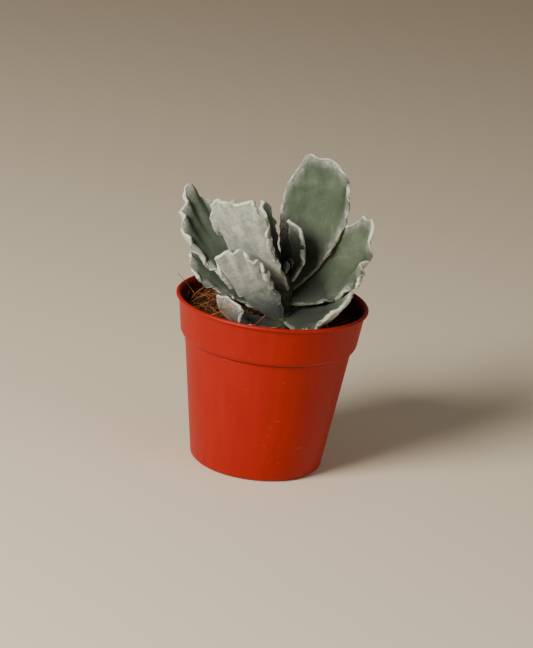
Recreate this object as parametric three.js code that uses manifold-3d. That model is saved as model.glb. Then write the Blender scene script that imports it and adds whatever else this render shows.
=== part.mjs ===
// A small silver crown succulent in a thin plastic thumb pot, in millimetres, +Z up.
// The origin is the centre of the pot's flat underside, where the pot stands.
// The front of the plant is -Y, and +X is to its right as seen from there.
import * as THREE from "three";
import { mergeVertices } from "three/addons/utils/BufferGeometryUtils.js";
import Module from "manifold-3d";

const wasm = await Module();
wasm.setup();

// Pot
const POT_HEIGHT = 48.6;
const LIP_RADIUS = 27.5;
const LIP_HEIGHT = 1.0;
const LIP_OVERHANG = 0.9;
const BAND_BOTTOM = 37.9;
const BAND_BOTTOM_RADIUS = 25.3;
const BODY_TOP = 36.4;
const BODY_TOP_RADIUS = 23.9;
const BASE_RADIUS = 19.0;
const WALL = 0.8;
const FLOOR = 1.4;
const RECESS_DEPTH = 0.6;
const RECESS_INNER = 5.0;
const RECESS_OUTER = 15.0;
const POT_SIDES = 64;
const DRAIN_HOLES = 5;
const DRAIN_RADIUS = 2.2;
const DRAIN_CIRCLE = 10.5;

// Soil and its coir fibres
const SOIL_TOP = 43.4;
const SOIL_SLOPE = 0.03;
const SOIL_DIP = 2.4;
const SOIL_DIP_REACH = 11;
const SOIL_CLEAR = 0.3;
const SOIL_SIDES = 48;
const SOIL_RINGS = 9;
const CRUMB_HEIGHT = 0.45;
const FIBRES = 15;
const FIBRE_THICK = 0.7;
const FIBRE_SEED = 7;

// Stem, which stands off the pot's centre
const STEM_X = 3.3;
const STEM_Y = -5;
const STEM_RADIUS = 2.7;
const STEM_TOP_RADIUS = 1.5;
const STEM_TOP = 58;
const ROOT_DEPTH = 10;
const SEAT_GAP = 0.3;
const BUD_RADIUS = 1.4;
const BUD_HEIGHT = 4;
const BUD_TURN = 0.9;

// Leaf blades
const MARGIN_THICK = 1.0;
const HEART_THICK = 1.9;
const WIDEST_AT = 0.66;
const SHOULDER = 0.55;
const CELLS_ALONG = 10;
const CELLS_ACROSS = 12;
const HORN_WIDTH = 0.07;
const CALM_FOOT = 0.25;
const SPINE_STEPS = 24;

// Each leaf: its azimuth round the stem (0 is +X, 90 is the back), the height of its seat, its size flat,
// the half width of its foot and how fast it flares from there. Lean from upright, sway in the blade's own
// plane and roll about its length are each given in degrees at the seat, the middle and the tip. Cup is the
// rise of the left and right halves at the margin, in degrees. Wave gives the height and the length of the
// margin's even waves, and horn the station and reach of the blade's small point.
// Ruffle lists the margin's height out of the blade in mm and scallop its reach past the plain outline,
// both at equal steps from the left of the seat, over the tip, to the right of the seat, as seen from the
// stem.
const LEAVES = [
  {
    name: "leaf_back_tall", azimuth: 78, seat: 53.8, length: 38.5, width: 20.5, foot: 2.2, flare: 1.8,
    lean: [24, 24, 26], sway: [18, 5, -22], roll: [0, 0, 8], cup: [22, 40], wave: [0.35, 5],
    horn: [-0.09, 2.4],
    ruffle: [0, 0, 0, 0, 0, 0, 0.2, -0.2, 0.3, -0.4, 0.6, -0.6, 0.5, -0.3, 0, 0, 0],
    scallop: [0, 0, 0.3, 0, -0.2, 0, 0.4, 0.4, -0.4, -0.4, -0.7, -0.6, -0.4, 0, -0.4, -0.4, 0],
  },
  {
    name: "leaf_front_left_upper", azimuth: 222, seat: 53.8, length: 38, width: 22.5, foot: 2.6, flare: 1.6,
    lean: [52, 40, 22], sway: [0, 0, 0], roll: [-10, -10, -10], cup: [20, 20], wave: [0.8, 6],
    horn: [0, 0],
    ruffle: [0, 0, 0, 0, 0, 0, 0, 0, 0, 0, 0, 0, 0, 0, 0, 0, 0],
    scallop: [0, -0.8, -2.2, -2.8, -2.2, -0.4, 2, -0.8, -1.6, -1.6, -0.6, -0.4, 0, 0, 0, 0, 0],
  },
  {
    name: "leaf_left_upper", azimuth: 158, seat: 50.5, length: 40, width: 21, foot: 2.4, flare: 1.5,
    lean: [66, 53, 30], sway: [0, 0, 0], roll: [25, 25, 15], cup: [24, 6], wave: [1, 5.5],
    horn: [0, 0.6],
    ruffle: [0, 0, 0, 0, 0, 0, 0, 0, 0, 0, 0, 0, 0, 0, 0, 0, 0],
    scallop: [0, 0, 1, 1.2, 1, 0.6, 0, -0.6, 2, -1.5, -3, -3, -1.5, 0, 0, 0, 0],
  },
  {
    name: "leaf_right_upper", azimuth: 3, seat: 50.3, length: 33.5, width: 19.5, foot: 2.1, flare: 1.6,
    lean: [62, 42, 3], sway: [0, 0, 0], roll: [-36, -42, -42], cup: [30, 25], wave: [1, 6],
    horn: [0, 0],
    ruffle: [0, 0, 0, 0, 0, 0, 0, 0, 0.6, 1.2, -0.8, 0.8, -0.4, 0, 0, 0, 0],
    scallop: [0, 0, -1.4, -2.6, -2.8, -1.6, -0.8, 0.6, 1.4, -2.4, -5.4, -6, -4, -1.4, 0, 0, 0],
  },
  {
    name: "leaf_front_left_lower", azimuth: 225, seat: 44.9, length: 31.5, width: 15.5, foot: 1.9,
    flare: 1.4, lean: [50, 44, 34], sway: [0, 0, 0], roll: [-30, -32, -34], cup: [20, 20], wave: [1, 5.5],
    horn: [0, 0],
    ruffle: [0, 0, 0, 0, 0, 0, 0, 0, 0, 0, 0, 0, 0, 0, 0, 0, 0],
    scallop: [0, 0, -0.8, -1.6, -2, -2.4, -2.2, -0.8, 0, -0.2, 0.8, -0.6, -1.5, -1.5, -1, 0, 0],
  },
  {
    name: "leaf_back_right_lower", azimuth: 53, seat: 47, length: 31, width: 20, foot: 1.8, flare: 1.4,
    lean: [45, 45, 40], sway: [0, 0, 0], roll: [0, 0, 0], cup: [20, 20], wave: [0.7, 6],
    horn: [0, 0],
    ruffle: [0, 0, 0, 0, 0, 0, 0, 0, 0, 0, 0, 0, 0, 0, 0, 0, 0],
    scallop: [0, 0, 0, 0, 0, 0, 0, 0, 0, 0, 0, 0, 0, 0, 0, 0, 0],
  },
  {
    name: "leaf_left_lower", azimuth: 149, seat: 45.3, length: 33, width: 20, foot: 1.3, flare: 1.2,
    lean: [66, 62, 50], sway: [0, 0, 0], roll: [30, 36, 30], cup: [24, 30], wave: [0.7, 5.5],
    horn: [0, 0],
    ruffle: [0, 0, 0, 0, 0, 0, 0, 0, 0, 0, 0, 0, 0, 0, 0, 0, 0],
    scallop: [0, -0.8, -1.4, -0.6, 0, 0, 0, 0, 0, 0, 0, 0, 0, 0, 0, 0, 0],
  },
  {
    name: "leaf_right_lower", azimuth: -30, seat: 45, length: 23.3, width: 19, foot: 2.0, flare: 1.5,
    lean: [78, 63, 28], sway: [0, 0, 0], roll: [-31, -27, -18], cup: [4, 14], wave: [0.6, 6],
    horn: [0, 0],
    ruffle: [0, 0, 0, 0, 0, 0.6, -0.8, 0.8, -0.6, 0.6, 0.2, 1.8, 1, 0.6, 0.2, 0, 0],
    scallop: [0, -1, -2.6, -3.4, -2.8, -1.2, 0, 0, 0, 0, -0.4, -0.8, -1, -0.8, -0.4, 0, 0],
  },
  {
    name: "leaf_front_left_oldest", azimuth: 204, seat: 42.8, length: 22, width: 14, foot: 1.8, flare: 1.3,
    lean: [84, 72, -10], sway: [0, 0, 0], roll: [10, 5, -5], cup: [20, 20], wave: [0.6, 6],
    horn: [0, 0],
    ruffle: [0, 0, 0, 0.2, -0.6, 1.2, 2.4, 0.8, -1.6, 0.8, 0.5, -0.5, 0, 0, 0, 0, 0],
    scallop: [0, 0, 0, 0, 0, 0, 0, 0, 0, -1, -2, -2, -2, -1, 0, 0, 0],
  },
  {
    name: "leaf_back_right_oldest", azimuth: 52, seat: 43.2, length: 26, width: 18, foot: 1.6, flare: 1.3,
    lean: [72, 70, 62], sway: [0, 0, 0], roll: [0, 0, 0], cup: [20, 20], wave: [0.6, 6],
    horn: [0, 0],
    ruffle: [0, 0, 0, 0, 0, 0, 0, 0, 0, 0, 0, 0, 0, 0, 0, 0, 0],
    scallop: [0, 0, 0, 0, 0, 0, 0, 0, 0, 0, 0, 0, 0, 0, 0, 0, 0],
  },
  {
    name: "leaf_heart_right", azimuth: -12, seat: 56.6, length: 17, width: 9, foot: 1.3, flare: 1.4,
    lean: [26, -8, -34], sway: [0, 0, 0], roll: [-15, -40, -45], cup: [10, 10], wave: [0.5, 5],
    horn: [0, 0],
    ruffle: [0, 0, 0, 0, 0, 0, 0, 0, 0, 0, 0, 0, 0, 0, 0, 0, 0],
    scallop: [0, -0.4, -1.4, -2.2, -2.4, -2, -1, 0, 1, 0, -0.6, -1, -1.4, -1, 0, 0, 0],
  },
  {
    name: "leaf_heart_left", azimuth: 172, seat: 56.4, length: 23, width: 11, foot: 1.3, flare: 1.4,
    lean: [30, 21, 8], sway: [0, 0, 0], roll: [0, 0, 0], cup: [35, 35], wave: [0.4, 5],
    horn: [0, 0],
    ruffle: [0, 0, 0, 0, 0, 0, 0, 0, 0, 0, 0, 0, 0, 0, 0, 0, 0],
    scallop: [0, 0, 0, 0, 0, 0, 0, 0, 0, 0, 0, 0, 0, 0, 0, 0, 0],
  },
];

const MATERIALS = {
  pot: new THREE.MeshStandardMaterial({ color: 0xb5350f, roughness: 0.45, metalness: 0 }),
  soil: new THREE.MeshStandardMaterial({ color: 0x2b1a10, roughness: 1, metalness: 0 }),
  stem: new THREE.MeshStandardMaterial({ color: 0x76825f, roughness: 0.8, metalness: 0 }),
  leaf: new THREE.MeshStandardMaterial({ color: 0x9aa696, roughness: 0.85, metalness: 0 }),
};

const radians = (degrees) => (degrees * Math.PI) / 180;
const mix = (a, b, k) => a + (b - a) * k;

// Solids from and to three.js geometry
function solidOf(geometry) {
  const bare = new THREE.BufferGeometry().setAttribute("position", geometry.getAttribute("position"));
  bare.setIndex(geometry.getIndex());
  const merged = mergeVertices(bare, 1e-4);
  const mesh = new wasm.Mesh({
    numProp: 3,
    vertProperties: new Float32Array(merged.attributes.position.array),
    triVerts: new Uint32Array(merged.index.array),
  });
  return new wasm.Manifold(mesh);
}

function geometryOf(solid) {
  const mesh = solid.getMesh();
  return new THREE.BufferGeometry()
    .setAttribute("position", new THREE.BufferAttribute(new Float32Array(mesh.vertProperties), 3))
    .setIndex(new THREE.BufferAttribute(new Uint32Array(mesh.triVerts), 1));
}

// A closed profile of [radius, height] pairs turned round the Z axis
function turned(profile, sides) {
  const points = profile.map(([r, z]) => new THREE.Vector2(r, z));
  return new THREE.LatheGeometry(points, sides).rotateX(Math.PI / 2);
}

// Pot
function potProfile() {
  const bandTop = POT_HEIGHT - LIP_HEIGHT;
  const bandTopRadius = LIP_RADIUS - LIP_OVERHANG;
  return [
    [0, 0],
    [RECESS_INNER, 0],
    [RECESS_INNER + 0.5, RECESS_DEPTH],
    [RECESS_OUTER, RECESS_DEPTH],
    [RECESS_OUTER + 0.6, 0],
    [BASE_RADIUS - 0.9, 0],
    [BASE_RADIUS, 0.9],
    [BODY_TOP_RADIUS, BODY_TOP],
    [BODY_TOP_RADIUS + 0.9, BODY_TOP + 0.5],
    [BAND_BOTTOM_RADIUS, BAND_BOTTOM],
    [bandTopRadius, bandTop],
    [LIP_RADIUS - 0.1, bandTop + 0.15],
    [LIP_RADIUS, POT_HEIGHT - 0.3],
    [LIP_RADIUS - 0.3, POT_HEIGHT],
    [LIP_RADIUS - 0.9, POT_HEIGHT],
    [bandTopRadius - WALL, bandTop - 0.3],
    [BAND_BOTTOM_RADIUS - WALL, BAND_BOTTOM + 0.3],
    [BODY_TOP_RADIUS - WALL, BODY_TOP + 0.2],
    [BASE_RADIUS - WALL + 0.1, FLOOR + 0.8],
    [BASE_RADIUS - WALL - 0.8, FLOOR],
    [0, FLOOR],
  ];
}

function makePot() {
  let pot = solidOf(turned(potProfile(), POT_SIDES));
  for (let i = 0; i < DRAIN_HOLES; i++) {
    const turn = (i / DRAIN_HOLES) * 2 * Math.PI;
    const drill = new THREE.CylinderGeometry(DRAIN_RADIUS, DRAIN_RADIUS, 4 * FLOOR, 14).rotateX(Math.PI / 2);
    drill.translate(DRAIN_CIRCLE * Math.cos(turn), DRAIN_CIRCLE * Math.sin(turn), 0);
    pot = pot.subtract(solidOf(drill));
  }
  return pot;
}

// Stem with its root crown
function stemProfile(grow) {
  return [
    [0, SOIL_TOP - ROOT_DEPTH - grow],
    [0.9 + grow, SOIL_TOP - ROOT_DEPTH - grow],
    [STEM_RADIUS + grow, SOIL_TOP - 3],
    [STEM_RADIUS + grow, SOIL_TOP + 4],
    [STEM_TOP_RADIUS + grow, STEM_TOP - 1],
    [0.6 + grow, STEM_TOP + grow],
    [0, STEM_TOP + grow],
  ];
}

const stemSolid = (grow) => solidOf(turned(stemProfile(grow), 20).translate(STEM_X, STEM_Y, 0));

// Leaf outline in the flat: across and along the blade, for a station from -1 over 0 at the tip to 1
function outline(leaf, station) {
  const side = Math.sign(station) || 1;
  const reach = Math.abs(station);
  const half = leaf.width / 2;
  const widest = leaf.length * WIDEST_AT;
  if (reach <= SHOULDER) {
    const angle = (reach / SHOULDER) * (Math.PI / 2);
    return [side * half * Math.sin(angle), widest + (leaf.length - widest) * Math.cos(angle)];
  }
  const climb = (1 - reach) / (1 - SHOULDER);
  const swell = 1 - Math.pow(1 - climb, leaf.flare);
  return [side * mix(leaf.foot, half, swell), widest * climb];
}

// A smooth reading between the values of a list that is spread evenly from -1 to 1
function along(list, station) {
  const place = ((station + 1) / 2) * (list.length - 1);
  const i = Math.min(list.length - 2, Math.floor(place));
  const k = place - i;
  const [a, b] = [list[Math.max(0, i - 1)], list[i]];
  const [c, d] = [list[i + 1], list[Math.min(list.length - 1, i + 2)]];
  return b + 0.5 * k * (c - a + k * (2 * a - 5 * b + 4 * c - d + k * (3 * (b - c) + d - a)));
}

// Height of the margin's even waves at a station, which die down towards the seat
function wave(leaf, station) {
  const reach = Math.abs(station);
  const [top, side] = [Math.hypot(leaf.width / 2, leaf.length * (1 - WIDEST_AT)), leaf.length * WIDEST_AT];
  const past = (reach - SHOULDER) / (1 - SHOULDER);
  const far = past < 0 ? (reach / SHOULDER) * top : top + past * side;
  const calm = Math.min(1, (1 - reach) / CALM_FOOT);
  const [height, length] = leaf.wave;
  return height * calm * Math.sin((2 * Math.PI * Math.sign(station) * far) / length + leaf.azimuth);
}

// How far a leaf's outline reaches past its plain one at a station
function reachPast(leaf, station) {
  const [at, height] = leaf.horn;
  return along(leaf.scallop, station) + height * Math.exp(-Math.pow((station - at) / HORN_WIDTH, 2));
}

// How strongly the margin's ruffles, and its even waves, reach a place this share of the way out to it
const ruffled = (share) => Math.pow(Math.max(0, (share - 0.3) / 0.7), 1.6);
const waved = (share) => Math.pow(Math.max(0, (share - 0.6) / 0.4), 1.5);

// Point of the leaf's middle surface: u from seat to tip, v from -1 at the left margin to 1 at the right
function bladePoint(leaf, u, v) {
  const side = v < 0 ? -1 : 1;
  const k = (v + 1) / 2;
  const top = outline(leaf, v * SHOULDER);
  const edges = [-1, 1].map((s) => outline(leaf, s * mix(1, SHOULDER, u)));
  const corners = [-1, 1].map((s) => outline(leaf, s * SHOULDER));
  const seat = [v * leaf.foot, 0];
  let [x, y] = [0, 1].map((i) => {
    const ruled = mix(edges[0][i], edges[1][i], k) + mix(seat[i], top[i], u);
    const shared = mix(seat[i], mix(corners[0][i], corners[1][i], k), u);
    return ruled - shared;
  });
  const lift = (read, share) => {
    const [up, out] = [share(u), share(Math.abs(v))];
    const atTop = read(v * SHOULDER);
    const atSide = read(side * mix(1, SHOULDER, u));
    return up * atTop + out * atSide - up * out * read(side * SHOULDER);
  };
  const heart = [0, leaf.length * 0.5];
  const far = Math.hypot(x - heart[0], y - heart[1]) || 1;
  const reach = lift((station) => reachPast(leaf, station), ruffled);
  x += (reach * (x - heart[0])) / far;
  y += (reach * (y - heart[1])) / far;
  const bow = radians(leaf.cup[side < 0 ? 0 : 1]) / (leaf.width / 2);
  const across = bow ? Math.sin(bow * x) / bow : x;
  const crown = bow ? (1 - Math.cos(bow * x)) / bow : 0;
  const ruffle = lift((station) => along(leaf.ruffle, station), ruffled);
  const evenWave = lift((station) => wave(leaf, station), waved);
  return placed(leaf, across, y, crown + ruffle + evenWave);
}

// The value at a share of the length, from those at the seat, the middle and the tip
function reading([seat, middle, tip], share) {
  return seat + share * (4 * middle - 3 * seat - tip + 2 * share * (seat + tip - 2 * middle));
}

// Directions of the blade at a share of its length: along it, to its right and out of its inner face
function directions(leaf, share) {
  const lean = radians(reading(leaf.lean, share));
  const sway = radians(reading(leaf.sway, share));
  const roll = radians(reading(leaf.roll, share));
  const turn = radians(leaf.azimuth);
  const outward = new THREE.Vector3(Math.cos(turn), Math.sin(turn), 0);
  const upright = outward.clone().multiplyScalar(Math.sin(lean)).setZ(Math.cos(lean));
  const inward = outward.clone().multiplyScalar(-Math.cos(lean)).setZ(Math.sin(lean));
  const rightward = new THREE.Vector3().crossVectors(upright, inward);
  const forward = upright.clone().applyAxisAngle(inward, -sway);
  const right = rightward.applyAxisAngle(inward, -sway).applyAxisAngle(forward, -roll);
  return [forward, right, inward.applyAxisAngle(forward, -roll)];
}

// Takes a point of the blade from across, along and height to its place on the plant
function placed(leaf, across, y, height) {
  const turn = radians(leaf.azimuth);
  const root = STEM_RADIUS - 1.4;
  const at = new THREE.Vector3(STEM_X + root * Math.cos(turn), STEM_Y + root * Math.sin(turn), leaf.seat);
  for (let i = 0; i < SPINE_STEPS; i++) {
    const [forward] = directions(leaf, ((y / leaf.length) * (i + 0.5)) / SPINE_STEPS);
    at.addScaledVector(forward, y / SPINE_STEPS);
  }
  const [, right, inward] = directions(leaf, y / leaf.length);
  return at.addScaledVector(right, across).addScaledVector(inward, height);
}

function thickness(u, v) {
  const margin = Math.max(u, Math.abs(v));
  return mix(HEART_THICK, MARGIN_THICK, Math.pow(margin, 2.5));
}

function makeLeaf(leaf) {
  const [rows, columns] = [CELLS_ALONG + 1, CELLS_ACROSS + 1];
  const middle = [];
  for (let i = 0; i < rows; i++)
    for (let j = 0; j < columns; j++)
      middle.push(bladePoint(leaf, i / CELLS_ALONG, (2 * j) / CELLS_ACROSS - 1));
  const sheet = new THREE.BufferGeometry().setFromPoints(middle);
  const cells = [];
  for (let i = 0; i < CELLS_ALONG; i++)
    for (let j = 0; j < CELLS_ACROSS; j++) {
      const a = i * columns + j;
      const [b, c, d] = [a + 1, a + columns + 1, a + columns];
      cells.push(...(j < CELLS_ACROSS / 2 ? [a, b, d, b, c, d] : [a, b, c, a, c, d]));
    }
  sheet.setIndex(cells);
  sheet.computeVertexNormals();
  const normals = sheet.attributes.normal;
  const points = [1, -1].flatMap((face) =>
    middle.map((p, n) => {
      const [i, j] = [Math.floor(n / columns), n % columns];
      const half = thickness(i / CELLS_ALONG, (2 * j) / CELLS_ACROSS - 1) / 2;
      return p.clone().addScaledVector(new THREE.Vector3().fromBufferAttribute(normals, n), face * half);
    }),
  );
  const far = rows * columns;
  const faces = [...cells];
  for (let i = 0; i < cells.length; i += 3)
    faces.push(cells[i] + far, cells[i + 2] + far, cells[i + 1] + far);
  const border = [];
  for (let j = 0; j < CELLS_ACROSS; j++) border.push(j);
  for (let i = 0; i < CELLS_ALONG; i++) border.push(i * columns + CELLS_ACROSS);
  for (let j = CELLS_ACROSS; j > 0; j--) border.push(CELLS_ALONG * columns + j);
  for (let i = CELLS_ALONG; i > 0; i--) border.push(i * columns);
  border.forEach((a, n) => {
    const b = border[(n + 1) % border.length];
    faces.push(a, a + far, b + far, a, b + far, b);
  });
  const blade = new THREE.BufferGeometry().setFromPoints(points);
  blade.setIndex(faces);
  return solidOf(blade);
}

// The pot's inner radius at a height of its body or its collar
function innerRadius(z) {
  if (z <= BODY_TOP) return mix(BASE_RADIUS, BODY_TOP_RADIUS, z / BODY_TOP) - WALL;
  const climb = (z - BAND_BOTTOM) / (POT_HEIGHT - LIP_HEIGHT - BAND_BOTTOM);
  return mix(BAND_BOTTOM_RADIUS, LIP_RADIUS - LIP_OVERHANG, climb) - WALL;
}

// Height of the soil's surface, lower round the stem and rough with crumbs
function soilHeight(x, y) {
  const near = Math.hypot(x - STEM_X, y - STEM_Y) / SOIL_DIP_REACH;
  const coarse = Math.sin(1.9 * x + 0.7 * y) * Math.cos(1.3 * y - 0.9 * x);
  const crumbs = coarse + 0.6 * Math.sin(2.9 * y + 1.1 * x);
  return SOIL_TOP + SOIL_SLOPE * (y - x) - SOIL_DIP * Math.exp(-near * near) + CRUMB_HEIGHT * crumbs;
}

function soilBall() {
  const floor = FLOOR + SOIL_CLEAR;
  const profile = [[0, floor], [BASE_RADIUS - WALL - 1.3, floor]];
  for (const z of [4, BODY_TOP, BAND_BOTTOM + 1, SOIL_TOP - 0.6])
    profile.push([innerRadius(z) - SOIL_CLEAR - 0.2, z]);
  const rim = innerRadius(SOIL_TOP) - SOIL_CLEAR - 0.9;
  for (let i = SOIL_RINGS - 1; i >= 0; i--) profile.push([(rim * i) / (SOIL_RINGS - 1), SOIL_TOP]);
  const earth = turned(profile, SOIL_SIDES);
  const spots = earth.attributes.position;
  for (let i = 0; i < spots.count; i++)
    if (spots.getZ(i) > SOIL_TOP - 0.1) spots.setZ(i, soilHeight(spots.getX(i), spots.getY(i)));
  return solidOf(earth);
}

// A repeatable run of numbers between 0 and 1
function drawn(seed) {
  let state = seed;
  return () => {
    state = (Math.imul(state, 1664525) + 1013904223) >>> 0;
    return state / 4294967296;
  };
}

// One coir fibre: a thin bent bar that lies half sunk in the surface
function fibre(x, y, turn, length, bow) {
  const points = [-1, 0, 1].map((s) => {
    const [px, py] = [x + (s * length * Math.cos(turn)) / 2, y + (s * length * Math.sin(turn)) / 2];
    const out = bow * (1 - s * s);
    const [qx, qy] = [px - out * Math.sin(turn), py + out * Math.cos(turn)];
    return new THREE.Vector3(qx, qy, soilHeight(qx, qy) + 0.1);
  });
  const half = FIBRE_THICK / 2;
  const corners = [[-half, -half], [half, -half], [0, half]].map(([x, y]) => new THREE.Vector2(x, y));
  const section = new THREE.Shape(corners);
  const path = new THREE.QuadraticBezierCurve3(...points);
  return solidOf(new THREE.ExtrudeGeometry(section, { steps: 3, extrudePath: path, bevelEnabled: false }));
}

function makeSoil() {
  const draw = drawn(FIBRE_SEED);
  let soil = soilBall();
  for (let i = 0; i < FIBRES; i++) {
    const side = i % 3 === 2 ? 0.1 : 0.85;
    const turn = Math.PI * (side + 0.5 * (draw() - 0.5));
    const out = mix(12, 20, draw());
    const [x, y] = [out * Math.cos(turn), out * Math.sin(turn)];
    soil = soil.add(fibre(x, y, Math.PI * draw(), mix(5, 9, draw()), mix(-1, 1, draw())));
  }
  return soil;
}

// Bud: the youngest leaves, closed round each other on the stem's top
function makeBud() {
  const profile = [
    [0, 0],
    [BUD_RADIUS * 0.7, 0],
    [BUD_RADIUS, BUD_HEIGHT * 0.35],
    [BUD_RADIUS * 0.75, BUD_HEIGHT * 0.7],
    [0, BUD_HEIGHT],
  ];
  const bud = turned(profile, 10).scale(1, 0.7, 1).rotateZ(BUD_TURN);
  return solidOf(bud.translate(STEM_X, STEM_Y, STEM_TOP + SEAT_GAP));
}

const part = new THREE.Group();

function add(name, solid, material) {
  const mesh = new THREE.Mesh(geometryOf(solid), material);
  mesh.name = name;
  part.add(mesh);
}

const seatCutter = stemSolid(SEAT_GAP);
add("pot", makePot(), MATERIALS.pot);
add("soil", makeSoil().subtract(seatCutter), MATERIALS.soil);
add("stem", stemSolid(0), MATERIALS.stem);
for (const leaf of LEAVES) add(leaf.name, makeLeaf(leaf).subtract(seatCutter), MATERIALS.leaf);
add("bud", makeBud(), MATERIALS.leaf);

export default part;
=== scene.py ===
"""Looks of a potted silver crown: fine wavy leaves, peat, coir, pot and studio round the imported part."""

import math
from collections import namedtuple

import bmesh
import bpy
import numpy as np
from bpy.props import FloatProperty, FloatVectorProperty, IntProperty, PointerProperty
from mathutils import Matrix, Vector, noise


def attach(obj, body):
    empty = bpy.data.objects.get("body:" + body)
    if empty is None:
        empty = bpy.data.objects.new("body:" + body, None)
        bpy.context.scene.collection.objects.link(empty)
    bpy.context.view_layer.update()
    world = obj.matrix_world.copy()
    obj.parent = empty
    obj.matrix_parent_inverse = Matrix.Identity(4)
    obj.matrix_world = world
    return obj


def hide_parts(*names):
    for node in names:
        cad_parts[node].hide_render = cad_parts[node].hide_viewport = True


bl_info = {
    "name": "Potted Silver Crown",
    "version": (1, 0, 0),
    "blender": (4, 5, 0),
    "location": "3D View > Sidebar > Silver Crown",
    "description": "Builds a potted silver crown succulent with its pot, soil and studio",
    "category": "Add Mesh",
}

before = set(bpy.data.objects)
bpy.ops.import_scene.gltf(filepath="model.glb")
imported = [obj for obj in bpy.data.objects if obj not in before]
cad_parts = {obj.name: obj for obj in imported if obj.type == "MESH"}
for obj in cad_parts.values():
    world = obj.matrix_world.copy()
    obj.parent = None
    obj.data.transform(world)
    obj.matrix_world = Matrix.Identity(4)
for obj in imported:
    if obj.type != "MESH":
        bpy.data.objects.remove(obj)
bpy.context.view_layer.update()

MM = 0.001
MICRON = 1e-6
FULL_TURN = 6.28

# Pot, as in the part, in millimetres
POT_HEIGHT = 48.6
LIP_RADIUS = 27.5
LIP_HEIGHT = 1.0
LIP_OVERHANG = 0.9
BAND_BOTTOM = 37.9
BAND_BOTTOM_RADIUS = 25.3
BODY_TOP = 36.4
BODY_TOP_RADIUS = 23.9
BASE_RADIUS = 19.0
WALL = 0.8
FLOOR = 1.4
RECESS_DEPTH = 0.6
RECESS_INNER = 5.0
RECESS_OUTER = 15.0
CORNER_ROUND = 0.22

# Soil, stem and leaves, as in the part
SOIL_TOP = 43.4
SOIL_SLOPE = 0.03
SOIL_DIP = 2.4
SOIL_DIP_REACH = 11
SOIL_CLEAR = 0.3
CRUMB_HEIGHT = 0.45
STEM_X = 3.3
STEM_Y = -5
STEM_RADIUS = 2.7
STEM_TOP_RADIUS = 1.5
STEM_TOP = 58
BARK_HEIGHT = 0.12
ROOT_DEPTH = 10
ROOT_INSET = 1.4
BUD_HEIGHT = 4
MARGIN_THICK = 1.0
HEART_THICK = 1.9
WIDEST_AT = 0.66
SHOULDER = 0.55
HORN_WIDTH = 0.07
CALM_FOOT = 0.25
CRINKLE_OUT = (3.9, 1.0)
CRINKLE_UP = (3.3, 0.4)
CRUST_HEIGHT = 0.2
CRUST_GRAIN = 2.0
STATIONS = 17
SPINE_STEPS = 24

# Fineness of the meshes made here
LEAF_ROWS = 80
LEAF_COLUMNS = 96
BUD_ROWS = 16
BUD_COLUMNS = 20
RIM_ROUND = 0.5
PATTERN_LENGTH = 40
HOLE_SIDES = 28
STEM_SIDES = 48
SOIL_SIDES = 160
SOIL_RINGS = 56

# What a blade keeps at each point: distances from its edge and from the plant's heart in mm, its face,
# places across and along it for patterns, and whether it is one of the oldest
KEPT = ("margin_mm", "outer_face", "heart_mm", "across", "lengthwise", "age")

STRAIGHT = (0, 0, 0)
CALM = (0,) * STATIONS
Leaf = namedtuple(
    "Leaf",
    "name azimuth seat length width foot flare lean roll cup wave sway horn ruffle scallop",
    defaults=(STRAIGHT, (0, 0), CALM, CALM),
)


def spread(first, *values):
    """A list for the stations round a leaf's margin: these values from the first named one, 0 elsewhere."""
    return (0,) * first + values + (0,) * (STATIONS - first - len(values))


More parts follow.
